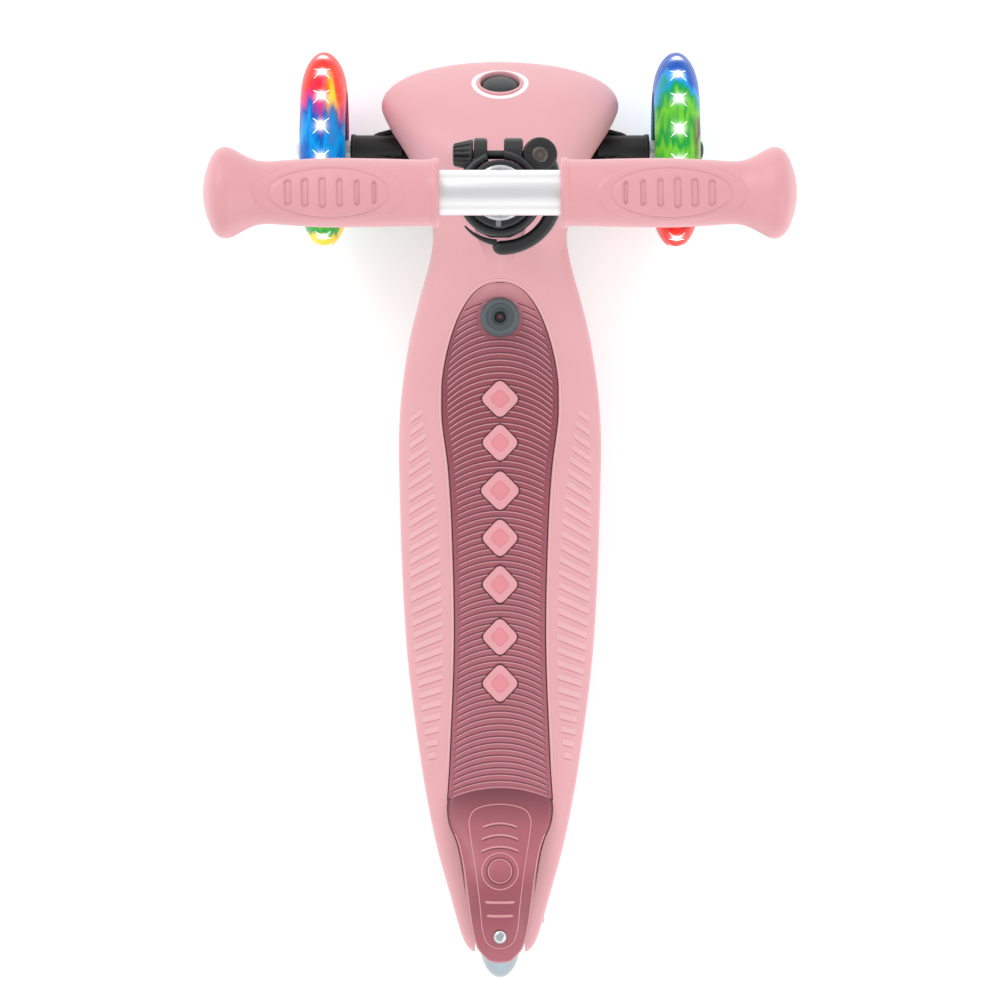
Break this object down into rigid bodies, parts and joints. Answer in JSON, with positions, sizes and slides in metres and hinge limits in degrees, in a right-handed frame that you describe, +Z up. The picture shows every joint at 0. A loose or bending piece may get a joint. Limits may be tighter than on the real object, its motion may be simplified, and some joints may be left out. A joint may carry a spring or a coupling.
{
  "type": "kick scooter",
  "caption": "Child's folding three-wheeled kick scooter: pink lean-to-steer deck with ribbed mat, light-up front wheels, rear foot brake and a height-adjustable T handlebar.",
  "frame": {"origin": "on the ground, at the middle of the scooter's length and width", "axes": "+X to the rider's right, +Y to the front, +Z up"},
  "size_m": [0.287, 0.572, 0.6821],
  "materials": {
    "pink_plastic": "satin moulded, slightly glossy",
    "grip_rubber": "soft matt",
    "raspberry_mat": "fine ribs, matt",
    "raspberry_plastic": "satin moulded",
    "bumper_rubber": "matt",
    "black_plastic": "satin moulded",
    "tyre_left": "clear cast urethane over swirls of red, yellow, blue and green",
    "tyre_right": "clear cast urethane over swirls of blue, green and red",
    "tyre_rear": "clear cast urethane",
    "light_strip": "milky with white lights",
    "tube_aluminium": "satin anodised",
    "dark_steel": "blackened",
    "bright_steel": "zinc plated"
  },
  "bodies": {
    "deck": {"deck": "pink_plastic", "deck_mat": "raspberry_mat", "bumper": "bumper_rubber", "bumper_screw": "dark_steel", "steering_frame": "black_plastic", "frame_screw_left": "bright_steel", "frame_screw_right": "bright_steel", "fold_bracket": "dark_steel", "bracket_screw": "bright_steel", "fold_pivot_pin": "bright_steel", "fold_pivot_nut": "bright_steel", "latch_pin": "bright_steel", "kingpin_left": "bright_steel", "kingpin_right": "bright_steel", "centring_spring_left": "bright_steel", "centring_spring_right": "bright_steel", "rear_axle_bolt": "bright_steel", "rear_axle_nut": "bright_steel", "brake_pin": "bright_steel", "brake_spring": "bright_steel"},
    "fold_button": {"fold_button": "black_plastic"},
    "latch": {"latch_pawl": "bright_steel"},
    "knuckle_left": {"steering_arm_left": "black_plastic", "front_axle_bolt_left": "bright_steel", "front_spacer_left": "bright_steel"},
    "knuckle_right": {"steering_arm_right": "black_plastic", "front_axle_bolt_right": "bright_steel", "front_spacer_right": "bright_steel"},
    "tie_rod": {"tie_rod": "bright_steel"},
    "wheel_left": {"front_tyre_left": "tyre_left", "front_wheel_core_left": "black_plastic", "light_ring_left": "light_strip", "front_bearing_left_1": "bright_steel", "front_bearing_left_2": "bright_steel"},
    "wheel_right": {"front_tyre_right": "tyre_right", "front_wheel_core_right": "black_plastic", "light_ring_right": "light_strip", "front_bearing_right_1": "bright_steel", "front_bearing_right_2": "bright_steel"},
    "wheel_rear": {"rear_tyre": "tyre_rear", "rear_wheel_core": "black_plastic", "rear_bearing_left": "bright_steel", "rear_bearing_right": "bright_steel"},
    "brake": {"brake": "raspberry_plastic", "brake_pad": "bright_steel", "brake_screw": "bright_steel"},
    "column": {"column_base": "black_plastic", "lower_tube": "tube_aluminium", "tube_screw": "bright_steel", "tube_bush": "black_plastic", "clamp_collar": "black_plastic", "clamp_bolt": "bright_steel", "clamp_knob": "black_plastic", "lever_pin": "dark_steel"},
    "clamp_lever": {"clamp_lever": "black_plastic"},
    "bar": {"handlebar": "tube_aluminium", "grip_left": "grip_rubber", "grip_right": "grip_rubber", "height_button_spring": "bright_steel"},
    "height_button": {"height_button": "bright_steel"}
  },
  "joints": [
    {"name": "fold", "type": "hinge", "parent": "deck", "child": "column", "pos_m": [0, 0.193, 0.106], "axis": [1, 0, 0], "range_deg": [0, 83]},
    {"name": "bar_height", "type": "slide", "parent": "column", "child": "bar", "axis": [0, -0.1045, 0.9945], "range_m": [0, 0.1]},
    {"name": "clamp", "type": "hinge", "parent": "column", "child": "clamp_lever", "pos_m": [0.0214, 0.18112, 0.41897], "axis": [0, -0.1045, 0.9945], "range_deg": [0, 110]},
    {"name": "height_pin", "type": "slide", "parent": "bar", "child": "height_button", "axis": [0, 0.9945, 0.1045], "range_m": [0, 0.004], "stiffness_N_per_m": 500},
    {"name": "button_press", "type": "slide", "parent": "deck", "child": "fold_button", "axis": [0, -0.8002, -0.5997], "range_m": [0, 0.004], "stiffness_N_per_m": 600},
    {"name": "latch_turn", "type": "hinge", "parent": "deck", "child": "latch", "pos_m": [0, 0.218, 0.092], "axis": [-1, 0, 0], "range_deg": [0, 8]},
    {"name": "steer_left", "type": "hinge", "parent": "deck", "child": "knuckle_left", "pos_m": [-0.04, 0.2255, 0.0605], "axis": [0, 0.4226, 0.9063], "range_deg": [-22, 22], "stiffness_Nm_per_rad": 8, "deforming": ["centring_spring_left", "centring_spring_right"]},
    {"name": "steer_right", "type": "hinge", "parent": "deck", "child": "knuckle_right", "pos_m": [0.04, 0.2255, 0.0605], "axis": [0, 0.4226, 0.9063], "range_deg": [-22, 22]},
    {"name": "tie_turn", "type": "hinge", "parent": "knuckle_left", "child": "tie_rod", "pos_m": [-0.04, 0.24544, 0.0512], "axis": [0, 0.4226, 0.9063], "range_deg": [-22, 22]},
    {"name": "roll_left", "type": "hinge", "parent": "knuckle_left", "child": "wheel_left", "pos_m": [-0.1085, 0.2255, 0.0605], "axis": [1, 0, 0], "continuous": true},
    {"name": "roll_right", "type": "hinge", "parent": "knuckle_right", "child": "wheel_right", "pos_m": [0.1085, 0.2255, 0.0605], "axis": [1, 0, 0], "continuous": true},
    {"name": "roll_rear", "type": "hinge", "parent": "deck", "child": "wheel_rear", "pos_m": [0, -0.246, 0.04], "axis": [1, 0, 0], "continuous": true},
    {"name": "brake_press", "type": "hinge", "parent": "deck", "child": "brake", "pos_m": [0, -0.188, 0.06], "axis": [1, 0, 0], "range_deg": [0, 2.8], "stiffness_Nm_per_rad": 1.5, "springref_deg": -5.73, "deforming": ["brake_spring"]}
  ],
  "couplings": [
    {"joint": "latch_turn", "follows": "button_press", "rad_per_m": 33},
    {"joint": "steer_right", "follows": "steer_left", "ratio": 1},
    {"joint": "tie_turn", "follows": "steer_left", "ratio": -1}
  ]
}
